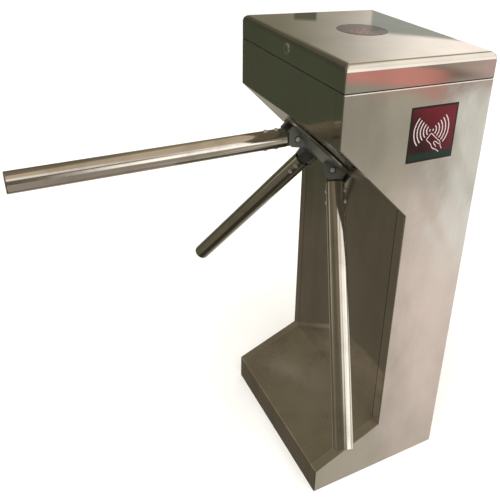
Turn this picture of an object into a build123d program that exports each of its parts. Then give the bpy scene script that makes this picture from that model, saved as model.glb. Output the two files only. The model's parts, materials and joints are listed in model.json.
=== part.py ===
from build123d import *
import os
from math import cos, hypot, radians, sin

# Tripod turnstile with a visitor counter: a sheet-steel cabinet, a lidded head and three drop arms.
# Units are millimetres.  Z is up, the origin is on the floor in the middle of the footprint.
# The passage that the arms bar is on the -X side, and visitors meet the reader on the -Y face.

os.makedirs("parts", exist_ok=True)

# ---------------------------------------------------------------- driving dimensions: cabinet
WIDTH = 330.0            # passage side to back
DEPTH = 420.0            # along the walking direction
HEIGHT = 980.0
SHEET = 2.0              # stainless sheet
BODY_TOP = 930.0         # the cabinet ends here and the lid begins 2 mm above
LID_BOTTOM = 932.0
LID_ROUND = 13.0         # rounding along the lid's top edges
RECESS_X = -5.0          # wall of the arm recess
SLANT_TOP = 831.5        # the slanted hub panel, upper and lower ends
SLANT_BOTTOM = 671.5
FOOT_HIGH = 130.0        # the foot slopes down towards the passage
FOOT_LOW = 62.0
FLANGE = 25.0            # return flange of the front and rear plates
SEAM = 0.4               # gap between a flange and the panel beside it
OPEN_SEAM = 1.5          # the same gap beside the hub and recess panels
FOOT_FOLD = 3.0          # radius of the fold along the nose of the foot
FOLD_RADIUS = 2.4        # outside radius of the folded edges
BASE_THICKNESS = 4.0
ANCHOR_X = 250.0         # anchor bolt spacing
ANCHOR_Y = 300.0
ANCHOR_RADIUS = 6.5
CABLE_X = 80.0           # cable entry in the base, under the column
CABLE_RADIUS = 30.0

# ---------------------------------------------------------------- driving dimensions: head
READER_X = 33.0          # centre and size of the reader window on the front face
READER_Z = 838.0
READER_SIZE = 108.0
INDICATOR_X = 10.0       # centre of the round indicator on the lid
INDICATOR_Y = 16.0
INDICATOR_RADIUS = 52.0
LOCK_Z = 957.0
HINGE_RADIUS = 3.5       # knuckle radius of the lid's long hinge
HINGE_PIN_RADIUS = 1.55
HINGE_Z = 931.0

# ---------------------------------------------------------------- driving dimensions: tripod
HUB_X = -82.5            # where the hub axis meets the slanted panel
HUB_Z = 749.0
VERTEX_DEPTH = 46.0      # the three arm axes meet this far behind the panel
ARM_ANGLE = 44.0         # between each arm and the hub axis
PIN_DISTANCE = 94.0      # along an arm from that meeting point to its drop pin
TUBE_START = 116.0
TUBE_END = 612.0
TUBE_RADIUS = 19.0
TUBE_WALL = 1.5
DISC_RADIUS = 90.0       # stainless disc behind the hub casting
DISC_GAP = 3.0
DISC_THICKNESS = 3.0
CONE_HIGH = 20.0         # the casting's height above the panel, in the middle and at its rim
CONE_LOW = 9.0
TONGUE_HALF = 11.2       # half thickness of an arm's tongue
EAR_INNER = 11.5         # half the gap between two ears
EAR_OUTER = 20.0
TONGUE_RADIUS = 15.0
PIN_RADIUS = 5.0
FIT = 0.05               # radial clearance of a running fit

# ---------------------------------------------------------------- driving dimensions: mechanism
SHAFT_RADIUS = 12.45
ROD_RADIUS = 4.0
ROD_CLEARANCE = 0.5
PLATE_TOP = 10.0         # the mechanism plate lies from the panel's inner face to here
BEARING_WIDTH = 12.0
BEARING_OUTER = 23.5
BEARING_INNER = 12.5
BALL_CIRCLE = 18.0
BALL_RADIUS = 3.4
INDEX_LEVEL = 62.0       # height of the index disc and the pawls above the panel's outer face
INDEX_THICKNESS = 8.0
INDEX_RADIUS = 70.0
NOTCH_DEPTH = 9.0
NOTCH_HALF = 9.0
CAM_LEVEL = 74.0
CAM_THICKNESS = 10.0
CAM_BASE = 38.0
CAM_LOBE = 46.0
ROLLER_RADIUS = 9.0
LEVER_POST = (-68.0, 50.0)
PAWL_POST = (52.0, 86.0)
BRIDGE_POST = 84.0
DAMPER_LEVEL = 90.0
ENCODER_LEVEL = 118.0
ENCODER_RADIUS = 45.0
BRIDGE_LEVEL = 142.0

SLOPE = sin(radians(45))
OUTWARD = Vector(-SLOPE, 0, -SLOPE)
UPSLOPE = Vector(-SLOPE, 0, SLOPE)
HUB = Vector(HUB_X, 0, HUB_Z)

# Cabinet outline in the XZ plane, anticlockwise seen from the front, starting at the passage corner
OUTLINE = [
    (-WIDTH / 2, 0),
    (WIDTH / 2, 0),
    (WIDTH / 2, BODY_TOP),
    (-WIDTH / 2, BODY_TOP),
    (-WIDTH / 2, SLANT_TOP),
    (RECESS_X, SLANT_BOTTOM),
    (RECESS_X, FOOT_HIGH),
    (-WIDTH / 2, FOOT_LOW),
]


def save(builder, name):
    """Label one finished piece and write it to its own STEP file."""
    builder.part.label = name
    export_step(builder.part, f"parts/{name}.step")


def hub_level(height):
    """Plane parallel to the slanted panel; negative heights lie inside the cabinet."""
    return Plane(origin=HUB + OUTWARD * height, x_dir=UPSLOPE, z_dir=OUTWARD)


def inside(depth):
    """Plane inside the cabinet, facing inwards, with its x axis up the slope and y towards -Y."""
    return Plane(origin=HUB - OUTWARD * depth, x_dir=UPSLOPE, z_dir=-OUTWARD)


def around(angle):
    """Unit vector across the hub axis; angle 0 points up the slope and 90 towards +Y."""
    return UPSLOPE * cos(radians(angle)) + Vector(0, 1, 0) * sin(radians(angle))


def ear_plane(angle, height):
    """Plane through the hub axis at an arm's angle: x is the radius, y is outward along the axis."""
    radius = around(angle)
    tangent = radius.cross(OUTWARD)
    return Plane(origin=HUB + tangent * height, x_dir=radius, z_dir=tangent)


def front_level(y):
    """Plane at depth y whose sketch x is X, sketch y is Z and which faces the front."""
    return Plane(origin=(0, y, 0), x_dir=(1, 0, 0), z_dir=(0, -1, 0))


def inset(points, amount):
    """Corner points of an anticlockwise outline moved inwards by amount."""
    moved = []
    count = len(points)
    for i in range(count):
        before, corner, after = points[i - 1], points[i], points[(i + 1) % count]
        ax, ay = corner[0] - before[0], corner[1] - before[1]
        bx, by = after[0] - corner[0], after[1] - corner[1]
        la, lb = hypot(ax, ay), hypot(bx, by)
        nax, nay = -ay / la, ax / la
        nbx, nby = -by / lb, bx / lb
        scale = amount / (1 + nax * nbx + nay * nby)
        moved.append((corner[0] + (nax + nbx) * scale, corner[1] + (nay + nby) * scale))
    return moved


INNER = inset(OUTLINE, SHEET)


def wall(index):
    """The four corners of one cabinet wall, mitred against its neighbours."""
    after = (index + 1) % len(OUTLINE)
    return [OUTLINE[index], OUTLINE[after], INNER[after], INNER[index]]


# ================================================================ cabinet
def tray(y_face, inward):
    """A front or rear plate: the whole outline with a return flange along every edge."""
    with BuildPart() as plate:
        with BuildSketch(front_level(y_face)) as outline:
            with BuildLine():
                Polyline(*OUTLINE, close=True)
            make_face()
            fillet(outline.vertices().group_by(Axis.X)[0].sort_by(Axis.Y)[1], radius=FOOT_FOLD)
        extrude(amount=-FLANGE * inward)
        outer_face = plate.faces().filter_by(Axis.Y).sort_by(Axis.Y)[0 if inward > 0 else -1]
        fillet(outer_face.edges(), radius=FOLD_RADIUS)
        with BuildSketch(front_level(y_face + SHEET * inward)):
            with BuildLine():
                Polyline(*INNER, close=True)
            make_face()
        extrude(amount=-FLANGE * inward, mode=Mode.SUBTRACT)
    return plate


with BuildPart() as front_plate:
    add(tray(-DEPTH / 2, 1).part)
    with BuildSketch(front_level(-DEPTH / 2)):
        with Locations((READER_X, READER_Z)):
            Rectangle(READER_SIZE + 0.6, READER_SIZE + 0.6)
    extrude(amount=-SHEET, mode=Mode.SUBTRACT)
save(front_plate, "front_plate")

rear_plate = tray(DEPTH / 2, -1)
save(rear_plate, "rear_plate")

PANEL_HALF = DEPTH / 2 - FLANGE - SEAM
OPEN_HALF = DEPTH / 2 - FLANGE - OPEN_SEAM
LEDGE = 18.0             # fold at the top of the passage and back panels, under the lid seal


def panel(index, half=PANEL_HALF):
    """One wall of the cabinet between the two return flanges."""
    with BuildPart() as sheet:
        with BuildSketch(front_level(half)):
            with BuildLine():
                Polyline(*wall(index), close=True)
            make_face()
        extrude(amount=2 * half)
    return sheet


with BuildPart() as back_panel:
    add(panel(1).part)
    with Locations((WIDTH / 2 - LEDGE / 2, 0, BODY_TOP - SHEET / 2)):
        Box(LEDGE, 2 * PANEL_HALF, SHEET)
save(back_panel, "back_panel")

STRIKE_X = -151.0        # the bar that the lock's hook turns under, welded to the ledge
STRIKE_Y = -14.0
STRIKE_WIDTH = 12.0
STRIKE_BAR = 17.0
with BuildPart() as passage_panel:
    add(panel(3).part)
    with Locations((-WIDTH / 2 + LEDGE / 2, 0, BODY_TOP - SHEET / 2)):
        Box(LEDGE, 2 * PANEL_HALF, SHEET)
    with Locations((STRIKE_X + 1.5, STRIKE_Y, BODY_TOP + 2)):
        Box(3, STRIKE_WIDTH, 4)
    with Locations((STRIKE_X + STRIKE_BAR / 2, STRIKE_Y, BODY_TOP + 5.5)):
        Box(STRIKE_BAR, STRIKE_WIDTH, 3)
save(passage_panel, "passage_panel")

with BuildPart() as hub_panel:
    add(panel(4, OPEN_HALF).part)
    with BuildSketch(inside(0)):
        Circle(34)
    extrude(amount=SHEET, mode=Mode.SUBTRACT)
save(hub_panel, "hub_panel")

save(panel(5, OPEN_HALF), "recess_panel")

with BuildPart() as foot_cover:
    add(panel(6).part)
    add(panel(7).part)
    fillet(foot_cover.edges().filter_by(Axis.Y).group_by(Axis.X)[0].sort_by(Axis.Z)[-1], radius=FOOT_FOLD)
save(foot_cover, "foot_cover")

with BuildPart() as base_plate:
    with BuildSketch():
        Rectangle(WIDTH - 2 * SHEET, 2 * PANEL_HALF)
        with GridLocations(ANCHOR_X, ANCHOR_Y, 2, 2):
            Circle(ANCHOR_RADIUS, mode=Mode.SUBTRACT)
        with Locations((CABLE_X, 0)):
            Circle(CABLE_RADIUS, mode=Mode.SUBTRACT)
    extrude(amount=BASE_THICKNESS)
save(base_plate, "base_plate")

GROMMET_BORE = 24.0
with BuildPart() as cable_grommet:
    with BuildSketch(Plane.XZ):
        with BuildLine():
            Polyline(
                (GROMMET_BORE, 0.5),
                (CABLE_RADIUS, 0.5),
                (CABLE_RADIUS, BASE_THICKNESS),
                (CABLE_RADIUS + 4, BASE_THICKNESS),
                (CABLE_RADIUS + 4, BASE_THICKNESS + 4),
                (GROMMET_BORE, BASE_THICKNESS + 4),
                close=True,
            )
        make_face()
    revolve(axis=Axis.Z)
cable_grommet.part = cable_grommet.part.moved(Location((CABLE_X, 0, 0)))
save(cable_grommet, "cable_grommet")

# ================================================================ lid, its seal, hinge and lock
SEAL_WIDTH = 12.0
with BuildPart() as lid_seal:
    with BuildSketch(Plane.XY.offset(BODY_TOP)):
        Rectangle(WIDTH - 2, DEPTH - 2)
        Rectangle(WIDTH - 2 - 2 * SEAL_WIDTH, DEPTH - 2 - 2 * SEAL_WIDTH, mode=Mode.SUBTRACT)
    extrude(amount=LID_BOTTOM - BODY_TOP - 0.3)
save(lid_seal, "lid_seal")

LID_HEIGHT = HEIGHT - LID_BOTTOM
LOCK_HOLE = 9.0
with BuildPart() as lid:
    with Locations((0, 0, LID_BOTTOM + LID_HEIGHT / 2)):
        Box(WIDTH, DEPTH, LID_HEIGHT)
    fillet(lid.edges().filter_by(Axis.Z), radius=FOLD_RADIUS)
    fillet(lid.faces().sort_by(Axis.Z)[-1].edges(), radius=LID_ROUND)
    offset(amount=-SHEET, openings=lid.faces().sort_by(Axis.Z)[0])
    with Locations((INDICATOR_X, INDICATOR_Y, HEIGHT)):
        Cylinder(INDICATOR_RADIUS, 4 * SHEET, mode=Mode.SUBTRACT)
    with Locations(Location((-WIDTH / 2, 0, LOCK_Z), (0, 90, 0))):
        Cylinder(LOCK_HOLE, 4 * SHEET, mode=Mode.SUBTRACT)
save(lid, "lid")

WINDOW_FLANGE = 2.0
with BuildPart() as indicator_window:
    with Locations((INDICATOR_X, INDICATOR_Y, HEIGHT + 0.3)):
        Cylinder(INDICATOR_RADIUS - 0.3, 4.3, align=(Align.CENTER, Align.CENTER, Align.MAX))
    with Locations((INDICATOR_X, INDICATOR_Y, HEIGHT - SHEET)):
        Cylinder(INDICATOR_RADIUS + 5, WINDOW_FLANGE, align=(Align.CENTER, Align.CENTER, Align.MAX))
save(indicator_window, "indicator_window")

BOARD_TOP = 970.0
LED_STEP = 7.5
with BuildPart() as indicator_board:
    with Locations((INDICATOR_X, INDICATOR_Y, BOARD_TOP)):
        Cylinder(INDICATOR_RADIUS - 4, 1.6, align=(Align.CENTER, Align.CENTER, Align.MAX))
        with PolarLocations(INDICATOR_RADIUS - 9, 3):
            Cylinder(3, HEIGHT - SHEET - WINDOW_FLANGE - BOARD_TOP, align=(Align.CENTER, Align.CENTER, Align.MIN))
        for step in range(-2, 3):
            with Locations((step * LED_STEP, step * LED_STEP), (step * LED_STEP, -step * LED_STEP)):
                Cylinder(2.5, 5.5, align=(Align.CENTER, Align.CENTER, Align.MIN))
save(indicator_board, "indicator_board")

HINGE_X = WIDTH / 2 + HINGE_RADIUS
LEAF_THICKNESS = 1.5
LEAF_HEIGHT = 26.0
HINGE_LENGTH = 360.0
KNUCKLES = 9
KNUCKLE_PITCH = HINGE_LENGTH / KNUCKLES
KNUCKLE_GAP = 0.4


def hinge_leaf(side, parity, bore):
    """One leaf of the long hinge with every second knuckle; side is +1 above the seam, -1 below."""
    low = HINGE_Z + (LID_BOTTOM - HINGE_Z if side > 0 else -LEAF_HEIGHT - 1)
    with BuildPart() as leaf:
        with Locations((WIDTH / 2 + LEAF_THICKNESS / 2, 0, low + LEAF_HEIGHT / 2)):
            Box(LEAF_THICKNESS, HINGE_LENGTH, LEAF_HEIGHT)
        for k in range(KNUCKLES):
            centre = (k - (KNUCKLES - 1) / 2) * KNUCKLE_PITCH
            if k % 2 == parity:
                with Locations(Location((HINGE_X, centre, HINGE_Z), (90, 0, 0))):
                    Cylinder(HINGE_RADIUS, KNUCKLE_PITCH - KNUCKLE_GAP)
                with Locations((WIDTH / 2 + LEAF_THICKNESS / 2, centre, HINGE_Z + side)):
                    Box(LEAF_THICKNESS, KNUCKLE_PITCH - KNUCKLE_GAP, 3)
            else:
                with Locations(Location((HINGE_X, centre, HINGE_Z), (90, 0, 0))):
                    Cylinder(HINGE_RADIUS + 0.4, KNUCKLE_PITCH + KNUCKLE_GAP, mode=Mode.SUBTRACT)
        with Locations(Location((HINGE_X, 0, HINGE_Z), (90, 0, 0))):
            Cylinder(bore, HINGE_LENGTH + 2, mode=Mode.SUBTRACT)
    return leaf


save(hinge_leaf(-1, 0, HINGE_PIN_RADIUS + FIT), "hinge_leaf_fixed")
save(hinge_leaf(1, 1, HINGE_PIN_RADIUS), "hinge_leaf_moving")

with BuildPart() as hinge_pin:
    with Locations(Location((HINGE_X, 0, HINGE_Z), (90, 0, 0))):
        Cylinder(HINGE_PIN_RADIUS, HINGE_LENGTH)
save(hinge_pin, "hinge_pin")

LOCK_PLANE = Plane(origin=(-WIDTH / 2, 0, LOCK_Z), x_dir=(0, 1, 0), z_dir=(1, 0, 0))
BARREL_RADIUS = 6.5
LOCK_DEPTH = 24.0
CAM_PLATE = 3.0
with BuildPart() as lock_housing:
    with BuildSketch(LOCK_PLANE.offset(-2)):
        Circle(11)
    extrude(amount=2)
    fillet(lock_housing.faces().sort_by(Axis.X)[0].edges(), 1.5)
    with BuildSketch(LOCK_PLANE):
        Circle(LOCK_HOLE)
    extrude(amount=LOCK_DEPTH)
    with BuildSketch(LOCK_PLANE.offset(SHEET + 0.1)):
        RegularPolygon(13, 6)
    extrude(amount=5)
    with BuildSketch(LOCK_PLANE.offset(-2)):
        Circle(BARREL_RADIUS + FIT)
    extrude(amount=LOCK_DEPTH + 2, mode=Mode.SUBTRACT)
save(lock_housing, "lock_housing")

with BuildPart() as lock_barrel:
    with BuildSketch(LOCK_PLANE.offset(-2.4)):
        Circle(BARREL_RADIUS)
        Rectangle(1.6, 8, mode=Mode.SUBTRACT)
    extrude(amount=12)
    with BuildSketch(LOCK_PLANE.offset(9.6)):
        Circle(BARREL_RADIUS)
    extrude(amount=LOCK_DEPTH - 9.6 + 0.5)
save(lock_barrel, "lock_barrel")

HOOK_INNER = 31.5
HOOK_OUTER = 37.0
with BuildPart() as lock_cam:
    with BuildSketch(LOCK_PLANE.offset(LOCK_DEPTH + 0.5)):
        Circle(8)
        with Locations((HOOK_OUTER / 2 - 1, 0)):
            Rectangle(HOOK_OUTER - 2, 10)
        with BuildLine():
            Line((HOOK_INNER, 0), (HOOK_OUTER, 0))
            CenterArc((0, 0), HOOK_OUTER, 0, -30)
            Line(
                (HOOK_OUTER * cos(radians(30)), -HOOK_OUTER * sin(radians(30))),
                (HOOK_INNER * cos(radians(30)), -HOOK_INNER * sin(radians(30))),
            )
            CenterArc((0, 0), HOOK_INNER, -30, 30)
        make_face()
    extrude(amount=CAM_PLATE)
save(lock_cam, "lock_cam")

# ================================================================ visitor's card reader
with BuildPart() as reader_window:
    with BuildSketch(front_level(-DEPTH / 2 - 0.3)):
        with Locations((READER_X, READER_Z)):
            RectangleRounded(READER_SIZE, READER_SIZE, 1)
    extrude(amount=-SHEET - 0.3)
    with BuildSketch(front_level(-DEPTH / 2 + SHEET)):
        with Locations((READER_X, READER_Z)):
            Rectangle(READER_SIZE + 12, READER_SIZE + 12)
    extrude(amount=-2)
save(reader_window, "reader_window")

with BuildPart() as reader_module:
    with BuildSketch(front_level(-DEPTH / 2 + SHEET + 2)):
        with Locations((READER_X, READER_Z)):
            RectangleRounded(92, 92, 6)
    extrude(amount=-20)
save(reader_module, "reader_module")

# ================================================================ mechanism fixed to the hub panel
BEARING_LEVELS = (12.0, 46.0)
HOUSING_TOP = BEARING_LEVELS[1] + BEARING_WIDTH
PLATE_U = 96.0
PLATE_Y = 172.0
STUD_U = 84.0
STUD_Y = 120.0
HOUSING_SCREW_CIRCLE = 45.0

with BuildPart() as mechanism_plate:
    with BuildSketch(inside(SHEET)):
        Rectangle(2 * PLATE_U, 2 * PLATE_Y)
        Circle(31, mode=Mode.SUBTRACT)
        with GridLocations(2 * STUD_U, 2 * STUD_Y, 2, 2):
            Circle(4.25, mode=Mode.SUBTRACT)
    extrude(amount=PLATE_TOP - SHEET)
save(mechanism_plate, "mechanism_plate")

with BuildPart() as bearing_housing:
    with BuildSketch(inside(4)):
        Circle(31)
    extrude(amount=PLATE_TOP - 4)
    with BuildSketch(inside(PLATE_TOP)):
        Circle(54)
    extrude(amount=8)
    with BuildSketch(inside(PLATE_TOP)):
        Circle(33)
    extrude(amount=HOUSING_TOP - PLATE_TOP)
    with BuildSketch(inside(4)):
        Circle(19)
    extrude(amount=HOUSING_TOP - 4, mode=Mode.SUBTRACT)
    for level in BEARING_LEVELS:
        with BuildSketch(inside(level)):
            Circle(BEARING_OUTER)
        extrude(amount=BEARING_WIDTH, mode=Mode.SUBTRACT)
    with BuildSketch(inside(PLATE_TOP)):
        with PolarLocations(HOUSING_SCREW_CIRCLE, 4, start_angle=45):
            Circle(3.2)
    extrude(amount=8, mode=Mode.SUBTRACT)
save(bearing_housing, "bearing_housing")


def bearing(level):
    """One deep-groove ball bearing: two rings and nine balls, as separate solids."""
    middle = level + BEARING_WIDTH / 2
    groove = BALL_CIRCLE - BEARING_INNER - 2.4
    with BuildPart() as rings:
        with BuildSketch(ear_plane(0, 0)):
            with Locations((BEARING_OUTER - groove / 2, -middle), (BEARING_INNER + groove / 2, -middle)):
                Rectangle(groove, BEARING_WIDTH)
            with Locations((BALL_CIRCLE, -middle)):
                Circle(BALL_RADIUS + 0.1, mode=Mode.SUBTRACT)
        revolve(axis=Axis(HUB, OUTWARD))
        with Locations(inside(middle)):
            with PolarLocations(BALL_CIRCLE, 9):
                Sphere(BALL_RADIUS)
    return rings


with BuildPart() as bearings:
    for level in BEARING_LEVELS:
        add(bearing(level).part)
save(bearings, "bearings")

POST_RADIUS = 5.0
with BuildPart() as pivot_posts:
    with BuildSketch(inside(PLATE_TOP)):
        with Locations((PAWL_POST[0], PAWL_POST[1]), (PAWL_POST[0], -PAWL_POST[1])):
            Circle(POST_RADIUS)
    extrude(amount=INDEX_LEVEL + INDEX_THICKNESS + 3 - PLATE_TOP)
    with BuildSketch(inside(PLATE_TOP)):
        with Locations((LEVER_POST[0], -LEVER_POST[1])):
            Circle(POST_RADIUS)
    extrude(amount=DAMPER_LEVEL - PLATE_TOP)
    with BuildSketch(inside(PLATE_TOP)):
        with Locations((BRIDGE_POST, 0), (-BRIDGE_POST, 0)):
            Circle(POST_RADIUS)
    extrude(amount=BRIDGE_LEVEL + 10 - PLATE_TOP)
save(pivot_posts, "pivot_posts")


def coil(post, low, high, leg):
    """A close-wound torsion spring round a post, with one straight leg along the slope."""
    with BuildPart() as spring:
        with BuildSketch(inside(low)):
            with Locations(post):
                Circle(POST_RADIUS + 3)
                Circle(POST_RADIUS + 0.6, mode=Mode.SUBTRACT)
        extrude(amount=high - low)
        with BuildSketch(inside(high - 2)):
            with Locations((post[0] - leg / 2, post[1] + (POST_RADIUS + 2) * (1 if post[1] > 0 else -1))):
                Rectangle(leg, 2)
        extrude(amount=2)
    return spring


with BuildPart() as return_springs:
    add(coil((PAWL_POST[0], PAWL_POST[1]), 46, INDEX_LEVEL - 1, 30).part)
    add(coil((PAWL_POST[0], -PAWL_POST[1]), 46, INDEX_LEVEL - 1, 30).part)
    add(coil((LEVER_POST[0], -LEVER_POST[1]), 68, 84, 10).part)
save(return_springs, "return_springs")

with BuildPart() as mechanism_bolts:
    with BuildSketch(inside(SHEET)):
        with GridLocations(2 * STUD_U, 2 * STUD_Y, 2, 2):
            Circle(4)
    extrude(amount=18)
    with BuildSketch(inside(PLATE_TOP)):
        with GridLocations(2 * STUD_U, 2 * STUD_Y, 2, 2):
            RegularPolygon(7.5, 6)
    extrude(amount=6.5)
    with BuildSketch(inside(PLATE_TOP)):
        with PolarLocations(HOUSING_SCREW_CIRCLE, 4, start_angle=45):
            Circle(3)
    extrude(amount=8)
    with BuildSketch(inside(PLATE_TOP + 8)):
        with PolarLocations(HOUSING_SCREW_CIRCLE, 4, start_angle=45):
            Circle(5)
            RegularPolygon(2.9, 6, mode=Mode.SUBTRACT)
    extrude(amount=6)
save(mechanism_bolts, "mechanism_bolts")

SOLENOID_U = -30.0
SOLENOID_NEAR = 112.0
SOLENOID_LENGTH = 54.0
SOLENOID_LEVEL = 66.0
PLUNGER_RADIUS = 5.0


def solenoid(side):
    """A push solenoid: a bracket, a coil and two end plates, on the side of the shaft given by +1 or -1."""
    middle = side * (SOLENOID_NEAR + SOLENOID_LENGTH / 2)
    with BuildPart() as body:
        with BuildSketch(inside(PLATE_TOP)):
            with Locations((SOLENOID_U, middle)):
                Rectangle(40, SOLENOID_LENGTH)
        extrude(amount=3)
        for end in (-1, 1):
            with BuildSketch(inside(PLATE_TOP)):
                with Locations((SOLENOID_U, middle + end * (SOLENOID_LENGTH / 2 - 1.5))):
                    Rectangle(40, 3)
            extrude(amount=SOLENOID_LEVEL + 20 - PLATE_TOP)
        with Locations(inside(SOLENOID_LEVEL)):
            with Locations(Location((SOLENOID_U, middle, 0), (90, 0, 0))):
                Cylinder(17, SOLENOID_LENGTH - 2)
                Cylinder(PLUNGER_RADIUS + 0.3, SOLENOID_LENGTH + 2, mode=Mode.SUBTRACT)
    return body


def plunger(side):
    """The sliding core of a push solenoid, with a round head that meets its pawl."""
    with BuildPart() as core:
        with Locations(inside(SOLENOID_LEVEL)):
            with Locations(Location((SOLENOID_U, side * 93, 0), (-90 * side, 0, 0))):
                Cylinder(8, 3, align=(Align.CENTER, Align.CENTER, Align.MIN))
                Cylinder(PLUNGER_RADIUS, 70, align=(Align.CENTER, Align.CENTER, Align.MIN))
    return core


with BuildPart() as gate_solenoids:
    add(solenoid(1).part)
    add(solenoid(-1).part)
save(gate_solenoids, "gate_solenoids")
save(plunger(1), "plunger_front")
save(plunger(-1), "plunger_rear")

PAWL_HALF = 6.0


def pawl(side):
    """A locking pawl: a bar on its post with a tooth that drops into a notch of the index disc."""
    pivot = (PAWL_POST[0], side * PAWL_POST[1])
    with BuildPart() as bar:
        with BuildSketch(inside(INDEX_LEVEL)):
            with Locations(pivot):
                Circle(10)
            with Locations((PAWL_POST[0] / 2 - 20, pivot[1])):
                Rectangle(PAWL_POST[0] + 40, 2 * PAWL_HALF)
            with Locations((-1.5, side * (72 + (PAWL_POST[1] - 72) / 2))):
                Rectangle(10, PAWL_POST[1] - 72)
            with Locations(pivot):
                Circle(POST_RADIUS + FIT, mode=Mode.SUBTRACT)
        extrude(amount=INDEX_THICKNESS)
    return bar


save(pawl(1), "pawl_front")
save(pawl(-1), "pawl_rear")

with BuildPart() as detent_lever:
    with BuildSketch(inside(85)):
        with Locations((LEVER_POST[0], -LEVER_POST[1])):
            Circle(10)
        with BuildLine():
            Polyline(
                (LEVER_POST[0] - 7, -LEVER_POST[1]),
                (LEVER_POST[0] + 7, -LEVER_POST[1]),
                (-CAM_LOBE - ROLLER_RADIUS - 0.4 + 7, 0),
                (-CAM_LOBE - ROLLER_RADIUS - 0.4 - 7, 0),
                close=True,
            )
        make_face()
        with Locations((-CAM_LOBE - ROLLER_RADIUS - 0.4, 0)):
            Circle(7)
        with Locations((LEVER_POST[0], -LEVER_POST[1])):
            Circle(POST_RADIUS + FIT, mode=Mode.SUBTRACT)
    extrude(amount=4)
    with BuildSketch(inside(CAM_LEVEL)):
        with Locations((-CAM_LOBE - ROLLER_RADIUS - 0.4, 0)):
            Circle(3)
    extrude(amount=11)
save(detent_lever, "detent_lever")

with BuildPart() as detent_roller:
    with BuildSketch(inside(CAM_LEVEL + 1)):
        with Locations((-CAM_LOBE - ROLLER_RADIUS - 0.4, 0)):
            Circle(ROLLER_RADIUS)
            Circle(3 + FIT, mode=Mode.SUBTRACT)
    extrude(amount=8)
save(detent_roller, "detent_roller")

with BuildPart() as damper_body:
    with BuildSketch(inside(DAMPER_LEVEL)):
        Circle(40)
        Rectangle(2 * BRIDGE_POST, 22)
        with Locations((BRIDGE_POST, 0), (-BRIDGE_POST, 0)):
            Circle(11)
        with Locations((BRIDGE_POST, 0), (-BRIDGE_POST, 0)):
            Circle(POST_RADIUS, mode=Mode.SUBTRACT)
    extrude(amount=4)
    with BuildSketch(inside(DAMPER_LEVEL + 4)):
        Circle(40)
    extrude(amount=18)
    with BuildSketch(inside(DAMPER_LEVEL)):
        Circle(14)
    extrude(amount=22, mode=Mode.SUBTRACT)
    with BuildSketch(inside(DAMPER_LEVEL + 4)):
        Circle(36)
    extrude(amount=14, mode=Mode.SUBTRACT)
save(damper_body, "damper_body")

with BuildPart() as counter_sensors:
    for angle in (60, 105):
        with Locations(inside(DAMPER_LEVEL + 22)):
            with PolarLocations(46, 1, start_angle=angle):
                Box(24, 12, 13, align=(Align.CENTER, Align.CENTER, Align.MIN))
        with Locations(inside(ENCODER_LEVEL - 1.2)):
            with PolarLocations(42, 1, start_angle=angle):
                Box(20, 14, 4, align=(Align.CENTER, Align.CENTER, Align.MIN), mode=Mode.SUBTRACT)
save(counter_sensors, "counter_sensors")

with BuildPart() as release_solenoid:
    with BuildSketch(inside(BRIDGE_LEVEL)):
        Rectangle(2 * BRIDGE_POST + 24, 30)
        with Locations((BRIDGE_POST, 0), (-BRIDGE_POST, 0)):
            Circle(POST_RADIUS, mode=Mode.SUBTRACT)
    extrude(amount=4)
    with BuildSketch(inside(BRIDGE_LEVEL + 4)):
        Circle(17)
    extrude(amount=40)
    with BuildSketch(inside(BRIDGE_LEVEL)):
        Circle(ROD_RADIUS + 0.4)
    extrude(amount=40, mode=Mode.SUBTRACT)
save(release_solenoid, "release_solenoid")

with BuildPart() as release_rod:
    with BuildSketch(hub_level(10)):
        Circle(ROD_RADIUS)
    extrude(amount=-10 - BRIDGE_LEVEL - 30)
    with BuildSketch(inside(BRIDGE_LEVEL - 3)):
        Circle(7)
    extrude(amount=2.5)
save(release_rod, "release_rod")

# ================================================================ electronics in the column
BACK_INNER = WIDTH / 2 - SHEET
with BuildPart() as control_board:
    with Locations((BACK_INNER - 8.8, 0, 640)):
        Box(1.6, 180, 140)
    for y, z in ((-82, 578), (82, 578), (-82, 702), (82, 702)):
        with Locations(Location((BACK_INNER - 4, y, z), (0, 90, 0))):
            Cylinder(3, 8)
    with Locations((BACK_INNER - 9.6 - 6, -60, 660)):
        Box(12, 28, 36)
    with Locations((BACK_INNER - 9.6 - 7.5, -20, 672), (BACK_INNER - 9.6 - 7.5, 4, 672)):
        Box(15, 18, 22)
    with Locations((BACK_INNER - 9.6 - 1.5, 50, 650)):
        Box(3, 24, 24)
    with Locations((BACK_INNER - 9.6 - 5, 0, 584)):
        Box(10, 140, 12)
save(control_board, "control_board")

with BuildPart() as power_supply:
    with Locations((BACK_INNER - 19, 0, 430)):
        Box(38, 98, 158)
    with Locations((BACK_INNER - 19, 0, 346)):
        Box(22, 80, 14)
save(power_supply, "power_supply")

# ================================================================ rotor
with BuildPart() as hub_disc:
    with BuildSketch(hub_level(DISC_GAP)):
        Circle(DISC_RADIUS)
        Circle(22, mode=Mode.SUBTRACT)
    extrude(amount=DISC_THICKNESS)
save(hub_disc, "hub_disc")

ARM_COUNT = 3
ARM_STEP = 360 / ARM_COUNT
PIN_R = PIN_DISTANCE * sin(radians(ARM_ANGLE))
PIN_S = PIN_DISTANCE * cos(radians(ARM_ANGLE)) - VERTEX_DEPTH
CAST_FOOT = DISC_GAP + DISC_THICKNESS


def arm_direction(angle):
    return around(angle) * sin(radians(ARM_ANGLE)) + OUTWARD * cos(radians(ARM_ANGLE))


def arm_plane(angle, distance):
    """Plane square to an arm; its x axis points to the side that the arm drops towards."""
    vertex = HUB - OUTWARD * VERTEX_DEPTH
    drop = OUTWARD * sin(radians(ARM_ANGLE)) - around(angle) * cos(radians(ARM_ANGLE))
    direction = arm_direction(angle)
    return Plane(origin=vertex + direction * distance, x_dir=drop, z_dir=direction)


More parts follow.
